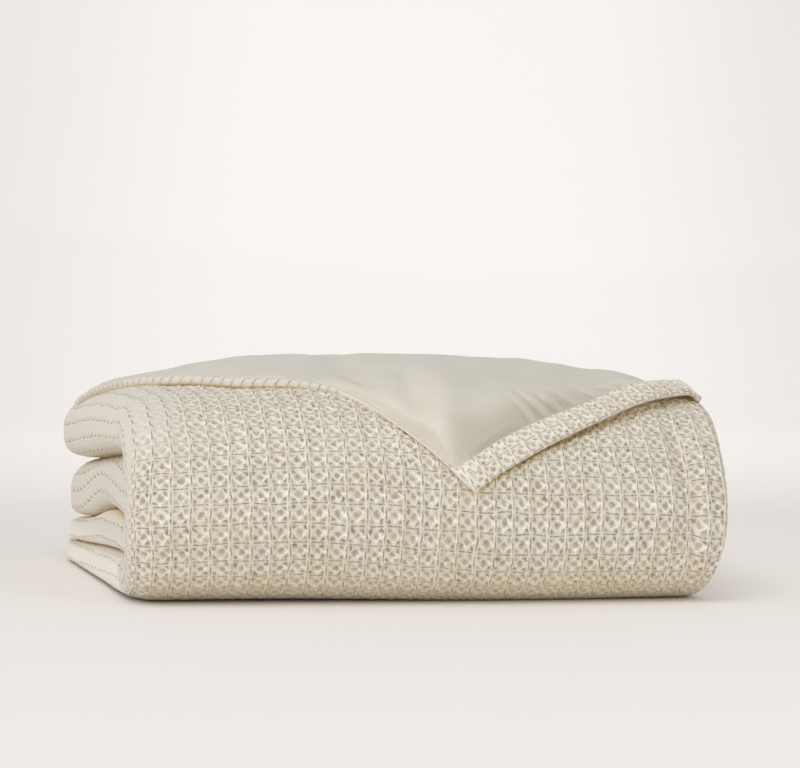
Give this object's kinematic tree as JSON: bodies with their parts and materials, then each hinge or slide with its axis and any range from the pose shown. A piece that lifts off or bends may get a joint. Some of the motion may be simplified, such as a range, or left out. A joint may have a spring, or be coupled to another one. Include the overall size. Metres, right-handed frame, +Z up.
{
  "type": "folded duvet cover",
  "caption": "Duvet cover in waffle weave, folded into a soft stack with a rounded front fold, its end turned back to show the smooth reverse and a hemmed corner.",
  "frame": {"origin": "on the surface it lies on, under the middle of the folded stack", "axes": "+X along the folded stack, to the viewer's right; +Y from the rounded front fold to the back; +Z up"},
  "size_m": [0.426, 0.3292, 0.1552],
  "materials": {
    "waffle_cotton": "cream waffle weave with deep cells",
    "smooth_cotton": "smooth plain weave with a soft sheen"
  },
  "bodies": {
    "root": {"waffle_panel": "waffle_cotton", "smooth_panel": "smooth_cotton"}
  },
  "joints": []
}
